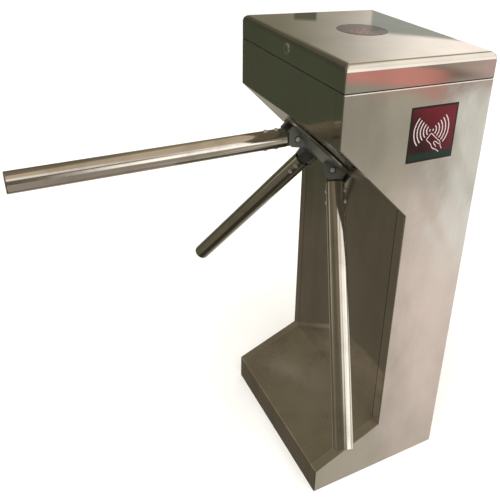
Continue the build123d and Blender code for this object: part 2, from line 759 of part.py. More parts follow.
EAR_POINTS = [
    (40, CAST_FOOT),
    (89, CAST_FOOT),
    (90, 23.5),
    (73.5, 40),
    (63, 41),
    (40, 25),
]

with BuildPart() as hub_casting:
    with BuildSketch(ear_plane(0, 0)):
        with BuildLine():
            Polyline(
                (0, CAST_FOOT),
                (88, CAST_FOOT),
                (88, CONE_LOW),
                (42, CONE_HIGH),
                (0, CONE_HIGH),
                close=True,
            )
        make_face()
    revolve(axis=Axis(HUB, OUTWARD))
    with BuildSketch(hub_level(DISC_GAP)):
        Circle(22)
    extrude(amount=DISC_THICKNESS)
    for k in range(ARM_COUNT):
        with BuildSketch(ear_plane(k * ARM_STEP, -EAR_OUTER)):
            with BuildLine():
                Polyline(*EAR_POINTS, close=True)
            make_face()
        extrude(amount=2 * EAR_OUTER)
    for k in range(ARM_COUNT):
        with BuildSketch(ear_plane(k * ARM_STEP, -EAR_INNER)):
            with Locations((PIN_R, PIN_S)):
                Circle(TONGUE_RADIUS + 0.6)
            with BuildLine():
                Polyline(
                    (PIN_R - 11.4, PIN_S - 11),
                    (100, CAST_FOOT),
                    (100, 60),
                    (30, 60),
                    (PIN_R - 28, PIN_S + 5),
                    close=True,
                )
            make_face()
        extrude(amount=2 * EAR_INNER, mode=Mode.SUBTRACT)
        with BuildSketch(ear_plane(k * ARM_STEP, -EAR_OUTER)):
            with Locations((PIN_R, PIN_S)):
                Circle(PIN_RADIUS)
        extrude(amount=2 * EAR_OUTER, mode=Mode.SUBTRACT)
    with BuildSketch(inside(-DISC_GAP)):
        Circle(SHAFT_RADIUS)
    extrude(amount=-11, mode=Mode.SUBTRACT)
    with BuildSketch(inside(-DISC_GAP)):
        Circle(ROD_RADIUS + ROD_CLEARANCE)
    extrude(amount=-15.5, mode=Mode.SUBTRACT)
save(hub_casting, "hub_casting")

HEAD_RADIUS = 7.5
with BuildPart() as arm_pins:
    for k in range(ARM_COUNT):
        for low, high, radius in (
            (-EAR_OUTER, EAR_OUTER, PIN_RADIUS),
            (EAR_OUTER, EAR_OUTER + 2.5, HEAD_RADIUS),
            (-EAR_OUTER - 2.5, -EAR_OUTER, HEAD_RADIUS),
        ):
            with BuildSketch(ear_plane(k * ARM_STEP, low)):
                with Locations((PIN_R, PIN_S)):
                    Circle(radius)
            extrude(amount=high - low)
save(arm_pins, "arm_pins")

with BuildPart() as main_shaft:
    with BuildSketch(hub_level(14)):
        Circle(SHAFT_RADIUS)
    extrude(amount=-14 - 132)
    with BuildSketch(inside(-DISC_GAP)):
        Circle(16)
    extrude(amount=BEARING_LEVELS[0] - 0.3 + DISC_GAP)
    with BuildSketch(hub_level(14)):
        Circle(ROD_RADIUS + ROD_CLEARANCE)
    extrude(amount=-14 - 132, mode=Mode.SUBTRACT)
save(main_shaft, "main_shaft")

NOTCHES = 6
with BuildPart() as index_disc:
    with BuildSketch(inside(INDEX_LEVEL)):
        Circle(INDEX_RADIUS)
        with PolarLocations(INDEX_RADIUS - NOTCH_DEPTH / 2 + 1, NOTCHES, start_angle=30):
            Rectangle(NOTCH_DEPTH + 2, 2 * NOTCH_HALF, mode=Mode.SUBTRACT)
    extrude(amount=INDEX_THICKNESS)
    with BuildSketch(inside(HOUSING_TOP + 1)):
        Circle(18)
    extrude(amount=CAM_LEVEL - 0.5 - HOUSING_TOP - 1)
    with BuildSketch(inside(HOUSING_TOP + 1)):
        Circle(SHAFT_RADIUS)
    extrude(amount=20, mode=Mode.SUBTRACT)
save(index_disc, "index_disc")

LOBE_HALF = 5.0          # half angle of a lobe's top, and of its foot on the base circle
LOBE_FOOT = 15.0


def polar(radius, angle):
    return (radius * cos(radians(angle)), radius * sin(radians(angle)))


with BuildPart() as detent_cam:
    with BuildSketch(inside(CAM_LEVEL)):
        Circle(CAM_BASE)
        for k in range(ARM_COUNT):
            middle = k * ARM_STEP
            with BuildLine():
                CenterArc((0, 0), CAM_LOBE, middle - LOBE_HALF, 2 * LOBE_HALF)
                Line(polar(CAM_LOBE, middle + LOBE_HALF), polar(CAM_BASE, middle + LOBE_FOOT))
                Line(polar(CAM_BASE, middle + LOBE_FOOT), polar(CAM_BASE - 4, middle))
                Line(polar(CAM_BASE - 4, middle), polar(CAM_BASE, middle - LOBE_FOOT))
                Line(polar(CAM_BASE, middle - LOBE_FOOT), polar(CAM_LOBE, middle - LOBE_HALF))
            make_face()
    extrude(amount=CAM_THICKNESS)
    with BuildSketch(inside(CAM_LEVEL)):
        Circle(17)
    extrude(amount=15)
    with BuildSketch(inside(CAM_LEVEL)):
        Circle(SHAFT_RADIUS)
    extrude(amount=20, mode=Mode.SUBTRACT)
save(detent_cam, "detent_cam")

SLOTS = 12
with BuildPart() as encoder_disc:
    with BuildSketch(inside(ENCODER_LEVEL)):
        Circle(ENCODER_RADIUS)
        with PolarLocations(ENCODER_RADIUS - 4.5, SLOTS):
            Rectangle(5, 10, mode=Mode.SUBTRACT)
    extrude(amount=1.5)
    with BuildSketch(inside(DAMPER_LEVEL + 23.5)):
        Circle(17)
    extrude(amount=8)
    with BuildSketch(inside(DAMPER_LEVEL + 23)):
        Circle(SHAFT_RADIUS)
    extrude(amount=10, mode=Mode.SUBTRACT)
save(encoder_disc, "encoder_disc")

with BuildPart() as shaft_nut:
    with BuildSketch(inside(DAMPER_LEVEL + 31.5)):
        RegularPolygon(20, 6)
        Circle(SHAFT_RADIUS, mode=Mode.SUBTRACT)
    extrude(amount=8)
save(shaft_nut, "shaft_nut")

# ================================================================ arms
ARM_NAMES = ("top", "far", "near")
SCREW_DISTANCES = (TUBE_START + 16, TUBE_START + 39)
SCREW_RADIUS = 2.5
SCREW_HEAD_RADIUS = 4.75
SCREW_HEAD_HEIGHT = 2.75
SCREW_LENGTH = 12.0
SPIGOT_LENGTH = 50.0


def screw_planes(angle):
    """Planes square to the four screws of an arm, on both sides of the tube, facing away from it."""
    side = arm_plane(angle, 0).x_dir
    planes = []
    for distance in SCREW_DISTANCES:
        for sign in (-1, 1):
            origin = arm_plane(angle, distance).origin + side * (sign * TUBE_RADIUS)
            planes.append(Plane(origin=origin, x_dir=arm_direction(angle), z_dir=side * sign))
    return planes


def arm_tube(angle):
    with BuildPart() as tube:
        with BuildSketch(arm_plane(angle, TUBE_START)):
            Circle(TUBE_RADIUS)
            Circle(TUBE_RADIUS - TUBE_WALL, mode=Mode.SUBTRACT)
        extrude(amount=TUBE_END - TUBE_START)
        for square in screw_planes(angle):
            with BuildSketch(square):
                Circle(SCREW_RADIUS)
            extrude(amount=-SCREW_LENGTH, mode=Mode.SUBTRACT)
    return tube


def arm_root(angle):
    """The tongue on the drop pin, and its spigot inside the tube."""
    pin = (PIN_R, PIN_S)
    with BuildPart() as root:
        with BuildSketch(ear_plane(angle, -TONGUE_HALF)):
            with Locations(pin):
                Circle(TONGUE_RADIUS)
        extrude(amount=2 * TONGUE_HALF)
        with BuildSketch(arm_plane(angle, PIN_DISTANCE)):
            Rectangle(2 * TONGUE_RADIUS, 2 * TONGUE_HALF)
        extrude(amount=TUBE_START - PIN_DISTANCE)
        with BuildSketch(arm_plane(angle, TUBE_START)):
            Circle(TUBE_RADIUS - TUBE_WALL)
        extrude(amount=SPIGOT_LENGTH)
        with BuildSketch(ear_plane(angle, -TONGUE_HALF)):
            with Locations(pin):
                Circle(PIN_RADIUS + FIT)
        extrude(amount=2 * TONGUE_HALF, mode=Mode.SUBTRACT)
        for square in screw_planes(angle):
            with BuildSketch(square):
                Circle(SCREW_RADIUS)
            extrude(amount=-SCREW_LENGTH, mode=Mode.SUBTRACT)
    return root


def arm_screws(angle):
    """Four button-head screws that hold the tube on its spigot."""
    with BuildPart() as screws:
        for square in screw_planes(angle):
            with BuildSketch(square):
                Circle(SCREW_RADIUS)
            extrude(amount=-SCREW_LENGTH)
            with BuildSketch(square):
                Circle(SCREW_HEAD_RADIUS)
            extrude(amount=SCREW_HEAD_HEIGHT)
    return screws


def arm_cap(angle):
    """The flat, rounded plug in the arm's free end."""
    with BuildPart() as cap:
        with BuildSketch(arm_plane(angle, TUBE_END)):
            Circle(TUBE_RADIUS)
        extrude(amount=4)
        fillet(cap.faces().sort_by(Axis(HUB, arm_direction(angle)))[-1].edges(), radius=2)
        with BuildSketch(arm_plane(angle, TUBE_END)):
            Circle(TUBE_RADIUS - TUBE_WALL)
        extrude(amount=-20)
    return cap


for k, arm in enumerate(ARM_NAMES):
    save(arm_tube(k * ARM_STEP), f"arm_{arm}_tube")
    save(arm_root(k * ARM_STEP), f"arm_{arm}_root")
    save(arm_screws(k * ARM_STEP), f"arm_{arm}_screws")
    save(arm_cap(k * ARM_STEP), f"arm_{arm}_cap")
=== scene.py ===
"""The looks of a tripod turnstile with a visitor counter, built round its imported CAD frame.

Units are metres, in the CAD's own frame: +Z up, the arms bar the -X side, visitors meet the -Y face.
"""
import json
from math import cos, pi, radians, sin

import bmesh
import bpy
from mathutils import Matrix, Vector


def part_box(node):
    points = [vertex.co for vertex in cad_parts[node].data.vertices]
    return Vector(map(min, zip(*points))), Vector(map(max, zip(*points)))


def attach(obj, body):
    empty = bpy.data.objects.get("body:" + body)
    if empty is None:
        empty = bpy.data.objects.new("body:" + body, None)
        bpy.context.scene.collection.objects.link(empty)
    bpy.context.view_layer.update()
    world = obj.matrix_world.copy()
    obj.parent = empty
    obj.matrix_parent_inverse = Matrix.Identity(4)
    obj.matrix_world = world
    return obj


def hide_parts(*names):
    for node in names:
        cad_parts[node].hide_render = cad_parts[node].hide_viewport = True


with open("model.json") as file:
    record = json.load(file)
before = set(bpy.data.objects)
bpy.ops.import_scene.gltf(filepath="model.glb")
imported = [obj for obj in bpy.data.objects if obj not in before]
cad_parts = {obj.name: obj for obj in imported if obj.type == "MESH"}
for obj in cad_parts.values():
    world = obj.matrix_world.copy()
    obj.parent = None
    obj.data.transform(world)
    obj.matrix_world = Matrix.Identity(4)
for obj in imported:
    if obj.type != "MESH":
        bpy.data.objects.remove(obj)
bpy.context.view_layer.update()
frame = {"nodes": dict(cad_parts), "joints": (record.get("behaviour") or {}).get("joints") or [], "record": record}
NODES = frame["nodes"]
RECORD = frame["record"]
JOINTS = {joint["name"]: joint for joint in frame["joints"]}
SLOT_OF = {part["node"]: part["material_slot"] for part in RECORD["subparts"]}
ARMS = ("top", "far", "near")
MM = 0.001

# The tripod's geometry, from the joints
HUB = Vector(JOINTS["rotor_spin"]["pos_m"])
OUTWARD = Vector(JOINTS["rotor_spin"]["axis"])
UPSLOPE = Vector((OUTWARD.x, 0, -OUTWARD.z))
ARM_ANGLE = radians(44)


def in_mechanism(u, v, depth):
    """A point in the slanted mechanism: u up the slope, v towards the front, depth below the panel."""
    return HUB - OUTWARD * depth + UPSLOPE * u + Vector((0, -v, 0))


def arm_axes(arm):
    """Pin position, direction along the arm and direction in which it drops."""
    pin = Vector(JOINTS[f"arm_{arm}_drop"]["pos_m"])
    radial = pin - HUB
    radial -= OUTWARD * radial.dot(OUTWARD)
    radial.normalize()
    along = radial * sin(ARM_ANGLE) + OUTWARD * cos(ARM_ANGLE)
    drop = OUTWARD * sin(ARM_ANGLE) - radial * cos(ARM_ANGLE)
    return pin, along, drop


# ------------------------------------------------------------------------------------ shader building
class Shader:
    """Short calls that build one node tree."""

    def __init__(self, tree):
        self.tree = tree
        self.tree.nodes.clear()

    def node(self, kind, **settings):
        made = self.tree.nodes.new(kind)
        for key, value in settings.items():
            setattr(made, key, value)
        return made

    def feed(self, socket, value):
        """Link a socket to another, or set its value."""
        if isinstance(value, bpy.types.NodeSocket):
            self.tree.links.new(value, socket)
        else:
            socket.default_value = value

    def maths(self, operation, first, second=0.0, third=0.0):
        made = self.node("ShaderNodeMath", operation=operation)
        for socket, value in zip(made.inputs, (first, second, third)):
            self.feed(socket, value)
        return made.outputs[0]

    def dot(self, vector, axis):
        made = self.node("ShaderNodeVectorMath", operation="DOT_PRODUCT")
        self.feed(made.inputs[0], vector)
        made.inputs[1].default_value = axis
        return made.outputs["Value"]

    def stretch(self, vector, scale):
        """A vector multiplied axis by axis."""
        made = self.node("ShaderNodeVectorMath", operation="MULTIPLY")
        self.feed(made.inputs[0], vector)
        made.inputs[1].default_value = scale
        return made.outputs[0]

    def noise(self, vector, scale, detail=2.0, dimensions="3D"):
        made = self.node("ShaderNodeTexNoise", noise_dimensions=dimensions)
        self.feed(made.inputs["W" if dimensions == "1D" else "Vector"], vector)
        made.inputs["Scale"].default_value = scale
        made.inputs["Detail"].default_value = detail
        return made.outputs[0]

    def remap(self, value, low, high, start=0.0, end=1.0):
        """Smoothly from start, where value is low, to end, where it is high."""
        made = self.node("ShaderNodeMapRange", interpolation_type="SMOOTHSTEP")
        for socket, number in zip(made.inputs, (value, low, high, start, end)):
            self.feed(socket, number)
        return made.outputs[0]

    def mix(self, factor, first, second, blend_type="MIX"):
        made = self.node("ShaderNodeMix", data_type="RGBA", blend_type=blend_type)
        self.feed(made.inputs["Factor"], factor)
        self.feed(made.inputs[6], first)
        self.feed(made.inputs[7], second)
        return made.outputs[2]

    def bump(self, height, distance, normal=None):
        made = self.node("ShaderNodeBump")
        made.inputs["Strength"].default_value = 1.0
        made.inputs["Distance"].default_value = distance
        self.feed(made.inputs["Height"], height)
        if normal is not None:
            self.feed(made.inputs["Normal"], normal)
        return made.outputs[0]

    def slanted(self, vector, tilt, lengthwise, crosswise):
        """Coordinates along and across a line that leans from +Z by tilt degrees, and through the sheet."""
        along = Vector((-sin(radians(tilt)), 0, cos(radians(tilt))))
        across = Vector((along.z, 0, -along.x))
        made = self.node("ShaderNodeCombineXYZ")
        rows = ((along, lengthwise), (across, crosswise), ((0, 1, 0), 6.0))
        for socket, (axis, scale) in zip(made.inputs, rows):
            self.feed(socket, self.maths("MULTIPLY", self.dot(vector, axis), scale))
        return made.outputs[0]

    def position(self):
        return self.node("ShaderNodeTexCoord").outputs["Object"]


def direction(azimuth, elevation):
    """Unit vector; azimuth 0 is +Y and 90 is +X."""
    a, e = radians(azimuth), radians(elevation)
    return Vector((sin(a) * cos(e), cos(a) * cos(e), sin(e)))


def colour(red, green, blue):
    return (red, green, blue, 1.0)


def material(name, metallic, roughness, **sockets):
    """A material with one Principled shader; returns it, its Shader and the Principled node."""
    made = bpy.data.materials.new(name)
    made.use_nodes = True
    shader = Shader(made.node_tree)
    output = shader.node("ShaderNodeOutputMaterial")
    surface = shader.node("ShaderNodeBsdfPrincipled")
    shader.feed(output.inputs["Surface"], surface.outputs[0])
    surface.inputs["Metallic"].default_value = metallic
    surface.inputs["Roughness"].default_value = roughness
    for key, value in sockets.items():
        surface.inputs[key.replace("_", " ")].default_value = value
    return made, shader, surface


# ------------------------------------------------------------------------------------ materials
def sheet_steel(name, tint, grain, polish=0.17, dirt=0.25, wave=1.0):
    """Satin stainless sheet. grain is the direction of the polishing lines, as scales along X, Y and Z."""
    made, shader, surface = material(name, 1.0, polish)
    place = shader.position()
    cloud = shader.noise(place, 9.0, 4.0)
    smear = shader.noise(shader.stretch(place, (14.0, 14.0, 3.0)), 1.0, 5.0)
    lines = shader.noise(shader.stretch(place, grain), 1.0, 3.0)
    worn = shader.remap(shader.maths("ADD", cloud, smear), 0.80, 1.35)
    dull = tuple(channel * (1 - dirt) for channel in tint)
    shaded = shader.mix(worn, colour(*tint), colour(*dull))
    streak = shader.remap(lines, 0.3, 0.7, 0.965, 1.0)
    shader.feed(surface.inputs["Base Color"], shader.mix(1.0, shaded, streak, "MULTIPLY"))
    scratch_place = shader.stretch(place, (90.0, 60.0, 260.0))
    scratch = shader.remap(shader.noise(scratch_place, 1.0, 1.0), 0.74, 0.80)
    rough = shader.maths("MULTIPLY_ADD", worn, 0.45 * polish, 0.75 * polish)
    shader.feed(surface.inputs["Roughness"], shader.maths("MULTIPLY_ADD", scratch, 0.12, rough))
    broad = shader.bump(shader.noise(place, 4.0, 2.0), 0.0016 * wave)
    drift = shader.noise(shader.slanted(place, 30, 1.8, 13.0), 1.0, 1.0)
    broad = shader.bump(drift, 0.0008 * wave, broad)
    middle = shader.bump(shader.noise(place, 22.0, 2.0), 0.00009 * wave, broad)
    fine = shader.bump(lines, 0.00003 * polish, middle)
    shader.feed(surface.inputs["Normal"], fine)
    return made


def polished_tube(name, along):
    """Polished stainless tube, with faint rings left by the polishing belt round its length."""
    made, shader, surface = material(name, 1.0, 0.09)
    place = shader.position()
    rings = shader.noise(shader.dot(place, along), 900.0, 3.0, "1D")
    cloud = shader.remap(shader.noise(place, 16.0, 4.0), 0.45, 0.75)
    tint = shader.mix(cloud, colour(0.74, 0.72, 0.68), colour(0.58, 0.555, 0.51))
    shader.feed(surface.inputs["Base Color"], tint)
    rough = shader.maths("MULTIPLY_ADD", cloud, 0.07, 0.10)
    shader.feed(surface.inputs["Roughness"], rough)
    dents = shader.bump(shader.noise(place, 26.0, 2.0), 0.00010)
    shader.feed(surface.inputs["Normal"], shader.bump(rings, 0.000004, dents))
    return made


def cast_metal(name, tint, roughness=0.38):
    """Sand-grained casting under a thin grey lacquer, darker in its hollows."""
    made, shader, surface = material(name, 0.85, roughness)
    place = shader.position()
    grain = shader.noise(place, 1400.0, 3.0)
    cloud = shader.noise(place, 60.0, 4.0)
    low = tuple(channel * 0.72 for channel in tint)
    shader.feed(surface.inputs["Base Color"], shader.mix(cloud, colour(*low), colour(*tint)))
    shader.feed(surface.inputs["Roughness"], shader.maths("MULTIPLY_ADD", cloud, 0.25, roughness - 0.1))
    swell = shader.bump(cloud, 0.00025)
    shader.feed(surface.inputs["Normal"], shader.bump(grain, 0.00006, swell))
    return made


def machined(name, tint, roughness=0.22):
    """Turned or plated metal, with fine tool marks and a little oil."""
    made, shader, surface = material(name, 1.0, roughness)
    place = shader.position()
    marks = shader.noise(shader.stretch(place, (2600.0, 300.0, 2600.0)), 1.0, 2.0)
    oil = shader.remap(shader.noise(place, 45.0, 4.0), 0.5, 0.72)
    low = tuple(channel * 0.74 for channel in tint)
    shader.feed(surface.inputs["Base Color"], shader.mix(oil, colour(*tint), colour(*low)))
    shader.feed(surface.inputs["Roughness"], shader.maths("MULTIPLY_ADD", oil, -0.08, roughness))
    shader.feed(surface.inputs["Normal"], shader.bump(marks, 0.000015))
    return made


def screw_steel(name):
    """Dull zinc plate on small screws."""
    made, shader, surface = material(name, 0.75, 0.42)
    place = shader.position()
    dull = shader.noise(place, 900.0, 3.0)
    tint = shader.mix(dull, colour(0.42, 0.44, 0.43), colour(0.62, 0.64, 0.62))
    shader.feed(surface.inputs["Base Color"], tint)
    shader.feed(surface.inputs["Roughness"], shader.maths("MULTIPLY_ADD", dull, 0.2, 0.32))
    return made


def zinc(name):
    """Bright zinc plating with its faint yellow and blue clouds."""
    made, shader, surface = material(name, 1.0, 0.34)
    place = shader.position()
    hue = shader.remap(shader.noise(place, 30.0, 5.0), 0.35, 0.65)
    tint = shader.mix(hue, colour(0.60, 0.62, 0.66), colour(0.68, 0.65, 0.55))
    shader.feed(surface.inputs["Base Color"], tint)
    spangle = shader.node("ShaderNodeTexVoronoi")
    shader.feed(spangle.inputs["Vector"], place)
    spangle.inputs["Scale"].default_value = 420.0
    rough = shader.maths("MULTIPLY_ADD", spangle.outputs["Distance"], 0.15, 0.26)
    shader.feed(surface.inputs["Roughness"], rough)
    shader.feed(surface.inputs["Normal"], shader.bump(spangle.outputs["Distance"], 0.00002))
    return made


def perforated(name):
    """Sheet aluminium punched all over with round ventilation holes, drawn as near-black spots of painted shade.
    """
    made, shader, surface = material(name, 1.0, 0.36)
    place = shader.position()
    holes = shader.node("ShaderNodeTexVoronoi")
    shader.feed(holes.inputs["Vector"], place)
    holes.inputs["Scale"].default_value = 200.0
    holes.inputs["Randomness"].default_value = 0.0
    solid = shader.remap(holes.outputs["Distance"], 0.28, 0.34)
    # Painted shade: each hole is a near-black spot, standing for the dark inside of the case seen through it.
    tint = shader.mix(solid, colour(0.02, 0.02, 0.02), colour(0.66, 0.67, 0.69))
    shader.feed(surface.inputs["Base Color"], tint)
    shader.feed(surface.inputs["Roughness"], shader.maths("MULTIPLY_ADD", solid, -0.3, 0.66))
    shader.feed(surface.inputs["Normal"], shader.bump(solid, 0.0004))
    return made


def plastic(name, tint, roughness=0.45, grain=0.00002):
    """Moulded plastic or rubber with a fine texture and a little dust."""
    made, shader, surface = material(name, 0.0, roughness)
    place = shader.position()
    dust = shader.remap(shader.noise(place, 38.0, 5.0), 0.52, 0.75)
    dusty = tuple(channel * 0.7 + 0.035 for channel in tint)
    shader.feed(surface.inputs["Base Color"], shader.mix(dust, colour(*tint), colour(*dusty)))
    shader.feed(surface.inputs["Roughness"], shader.maths("MULTIPLY_ADD", dust, 0.2, roughness))
    shader.feed(surface.inputs["Normal"], shader.bump(shader.noise(place, 2600.0, 2.0), grain))
    return made


def circuit(name):
    """Green solder mask with tracks that show through as a paler grid."""
    made, shader, surface = material(name, 0.0, 0.32)
    place = shader.position()
    cells = shader.node("ShaderNodeTexBrick")
    shader.feed(cells.inputs["Vector"], shader.stretch(place, (55.0, 90.0, 90.0)))
    cells.inputs["Scale"].default_value = 1.0
    cells.inputs["Mortar Size"].default_value = 0.035
    cells.inputs["Color1"].default_value = colour(0.012, 0.095, 0.040)
    cells.inputs["Color2"].default_value = colour(0.016, 0.115, 0.050)
    cells.inputs["Mortar"].default_value = colour(0.030, 0.190, 0.085)
    cloud = shader.noise(place, 70.0, 3.0)
    low = shader.mix(cloud, colour(0.75, 0.75, 0.75), colour(1.0, 1.0, 1.0))
    shader.feed(surface.inputs["Base Color"], shader.mix(1.0, cells.outputs["Color"], low, "MULTIPLY"))
    shader.feed(surface.inputs["Normal"], shader.bump(cells.outputs["Fac"], 0.00003))
    return made


def red_film(name):
    """The reader's window: clear acrylic over a wine-red print with a black border, with painted reflections on
    it.
    """
    made, shader, surface = material(name, 0.0, 0.05, Specular_IOR_Level=0.42)
    place = shader.position()
    low_x, high_x = READER_CENTRE.x - READER_HALF, READER_CENTRE.x + READER_HALF
    low_z, high_z = READER_CENTRE.z - READER_HALF, READER_CENTRE.z + READER_HALF
    split = shader.node("ShaderNodeSeparateXYZ")
    shader.feed(split.inputs[0], place)
    left = shader.remap(split.outputs["X"], low_x + 3.0 * MM, low_x + 4.2 * MM)
    right = shader.remap(split.outputs["X"], high_x - 4.2 * MM, high_x - 3.0 * MM, 1.0, 0.0)
    base = shader.remap(split.outputs["Z"], low_z + 3.0 * MM, low_z + 4.2 * MM)
    top = shader.remap(split.outputs["Z"], high_z - 4.2 * MM, high_z - 3.0 * MM, 1.0, 0.0)
    inside = shader.maths("MULTIPLY", left, right)
    inside = shader.maths("MULTIPLY", inside, shader.maths("MULTIPLY", base, top))
    # Painted reflection: the red goes from dark at the lower left to lighter at the upper right, in cloudy
    # patches.
    cloud = shader.maths("MULTIPLY_ADD", shader.noise(place, 24.0, 3.0), 0.7, -0.35)
    corner = shader.dot(place, (0.7071, 0, 0.7071))
    middle = READER_CENTRE.dot(Vector((0.7071, 0, 0.7071)))
    painted_reflection_fade = shader.remap(corner, middle - 60 * MM, middle + 60 * MM)
    dark, light = colour(0.012, 0.001, 0.003), colour(0.10, 0.0035, 0.011)
    wine = shader.mix(shader.maths("ADD", painted_reflection_fade, cloud), dark, light)
    # Painted reflection: a dark green band along the bottom of the window, with a soft upper edge.
    strip = shader.remap(split.outputs["Z"], low_z + 14 * MM, low_z + 20 * MM)
    film_with_painted_reflections = shader.mix(strip, colour(0.004, 0.016, 0.012), wine)
    shader.feed(surface.inputs["Base Color"], shader.mix(inside, colour(0.006, 0.004, 0.004), film_with_painted_reflections))
    wiped = shader.noise(shader.stretch(place, (40.0, 40.0, 12.0)), 1.0, 4.0)
    shader.feed(surface.inputs["Roughness"], shader.remap(wiped, 0.4, 0.8, 0.03, 0.12))
    shader.feed(surface.inputs["Normal"], shader.bump(shader.noise(place, 14.0, 1.0), 0.00012))
    return made


def smoked_acrylic(name):
    """The indicator's window: smoked acrylic that lets the lights under it show."""
    made, shader, surface = material(
        name, 0.0, 0.06, Transmission_Weight=0.9, IOR=1.45, Specular_IOR_Level=0.35)
    place = shader.position()
    cloud = shader.noise(place, 60.0, 3.0)
    tint = shader.mix(cloud, colour(0.13, 0.08, 0.07), colour(0.09, 0.055, 0.05))
    shader.feed(surface.inputs["Base Color"], tint)
    smear = shader.remap(shader.noise(place, 35.0, 4.0), 0.45, 0.75, 0.05, 0.16)
    shader.feed(surface.inputs["Roughness"], smear)
    return made


def lamp(name, tint, strength):
    """A light-emitting diode in a milky dome that glows with strength; a weak strength gives an unlit one a faint
    painted glow.
    """
    made, shader, surface = material(name, 0.0, 0.25, Emission_Strength=strength)
    place = shader.position()
    core = shader.remap(shader.noise(place, 500.0, 1.0), 0.3, 0.7)
    glow = shader.mix(core, colour(*tint), colour(1.0, 0.45, 0.40))
    shader.feed(surface.inputs["Emission Color"], glow)
    surface.inputs["Base Color"].default_value = colour(*tint)
    return made


def paint(name, tint):
    """Screen-printed ink, slightly uneven."""
    made, shader, surface = material(name, 0.0, 0.4)
    place = shader.position()
    uneven = shader.noise(place, 300.0, 3.0)
    low = tuple(channel * 0.86 for channel in tint)
    shader.feed(surface.inputs["Base Color"], shader.mix(uneven, colour(*low), colour(*tint)))
    shader.feed(surface.inputs["Normal"], shader.bump(uneven, 0.00001))
    return made


READER_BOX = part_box("reader_module")
READER_CENTRE = (READER_BOX[0] + READER_BOX[1]) / 2
READER_HALF = 54 * MM

STEEL = (0.62, 0.60, 0.56)
UPRIGHT = (900.0, 900.0, 14.0)       # polishing lines along Z
LENGTHWISE = (900.0, 14.0, 900.0)    # and along Y
CROSSWISE = (14.0, 900.0, 900.0)     # and along X

SPECIAL = {
    "front_plate": sheet_steel("front sheet", (0.66, 0.635, 0.60), UPRIGHT, 0.10, 0.10, 1.6),
    "rear_plate": sheet_steel("rear sheet", (0.66, 0.635, 0.60), UPRIGHT, 0.17, 0.12),
    "back_panel": sheet_steel("back sheet", (0.62, 0.60, 0.57), UPRIGHT, 0.18, 0.12),
    "passage_panel": sheet_steel("passage sheet", STEEL, LENGTHWISE, 0.24, 0.15),
    "hub_panel": sheet_steel("hub sheet", STEEL, LENGTHWISE, 0.24, 0.22),
    "recess_panel": sheet_steel("recess sheet", STEEL, UPRIGHT, 0.09, 0.18, 0.7),
    "foot_cover": sheet_steel("foot sheet", (0.61, 0.59, 0.55), LENGTHWISE, 0.28, 0.20),
    "lid": sheet_steel("lid sheet", (0.65, 0.63, 0.59), CROSSWISE, 0.02, 0.12, 0.05),
    "hub_disc": sheet_steel("disc sheet", STEEL, LENGTHWISE, 0.20, 0.22),
    "base_plate": zinc("zinc plate"),
    "reader_window": red_film("reader film with painted reflections"),
    "indicator_window": smoked_acrylic("smoked window"),
    "cable_grommet": plastic("grommet rubber", (0.020, 0.020, 0.021), 0.6, 0.00004),
}
ROOT_CASTING = cast_metal("root casting", (0.145, 0.148, 0.14))
for arm in ARMS:
    SPECIAL[f"arm_{arm}_tube"] = polished_tube(f"tube steel {arm}", arm_axes(arm)[1])
    SPECIAL[f"arm_{arm}_cap"] = SPECIAL[f"arm_{arm}_tube"]
    SPECIAL[f"arm_{arm}_root"] = ROOT_CASTING

BY_SLOT = {
    "brushed_stainless": sheet_steel("hinge sheet", STEEL, LENGTHWISE, 0.22),
    "polished_stainless": machined("pin steel", (0.74, 0.74, 0.72), 0.24),
    "cast_alloy": cast_metal("dark casting", (0.25, 0.268, 0.252), 0.34),
    "zinc_steel": zinc("zinc plating"),
    "machined_steel": machined("machined steel", (0.56, 0.55, 0.54)),
    "machined_aluminium": machined("machined aluminium", (0.74, 0.75, 0.76), 0.28),
    "lock_chrome": machined("lock chrome", (0.82, 0.82, 0.82), 0.10),
    "black_plastic": plastic("black moulding", (0.018, 0.018, 0.020)),
    "circuit_green": circuit("circuit board"),
    "psu_metal": perforated("supply case"),
    "black_rubber": plastic("black rubber", (0.016, 0.016, 0.016), 0.65, 0.00005),
}
for name, part in NODES.items():
    part.data.materials.clear()
    part.data.materials.append(SPECIAL.get(name) or BY_SLOT[SLOT_OF[name]])


# ------------------------------------------------------------------------------------ detail pieces
def piece(name, mesh, look, body, replaced=()):
    """A finished mesh becomes a piece that moves with a body."""
    mesh.materials.append(look)
    made = bpy.data.objects.new(name, mesh)
    bpy.context.scene.collection.objects.link(made)
    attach(made, body)
    if replaced:
        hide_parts(*replaced)
    return made


def finish_mesh(name, bm, smooth=False):
    """Write a bmesh out with tidy normals."""
    bmesh.ops.recalc_face_normals(bm, faces=bm.faces)
    mesh = bpy.data.meshes.new(name)
    bm.to_mesh(mesh)
    bm.free()
    for face in mesh.polygons:
        face.use_smooth = smooth
    return mesh


